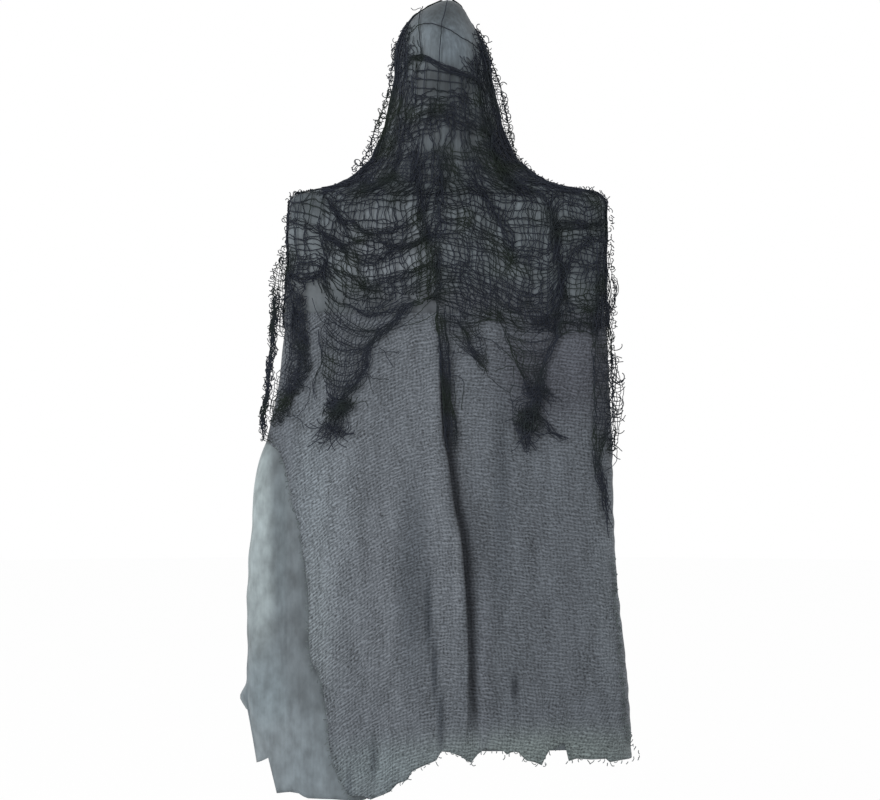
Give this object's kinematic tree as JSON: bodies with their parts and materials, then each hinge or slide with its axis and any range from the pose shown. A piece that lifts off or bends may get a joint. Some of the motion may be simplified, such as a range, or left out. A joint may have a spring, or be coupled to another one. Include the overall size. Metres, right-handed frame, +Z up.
{
  "type": "hanging ghost decoration",
  "caption": "Hanging ghost: a hooded light robe with square shoulders, an open-weave gauze skirt with a ragged hem, and a torn black net over head, shoulders and chest.",
  "frame": {"origin": "where a hook bears, at the top of the inside of the wire eye above the hood", "axes": "+Z up along the hang of the robe, -Y towards the front, +X to the viewer's right"},
  "size_m": [0.4327, 0.145, 0.9196],
  "materials": {
    "liner_cloth": "smooth sheer polyester, light blue grey",
    "gauze_cloth": "open-weave ribbed gauze, dyed mid grey",
    "black_net": "loose ragged cotton net, dyed near black",
    "foam": "white moulded bead foam",
    "pine": "bare pine",
    "steel_wire": "bright drawn wire"
  },
  "bodies": {
    "root": {"liner": "liner_cloth", "gauze_robe": "gauze_cloth", "net_cape": "black_net", "head_form": "foam", "shoulder_block_left": "foam", "shoulder_block_right": "foam", "neck_rod": "pine", "shoulder_bar": "pine", "hanging_eye": "steel_wire"}
  },
  "joints": []
}
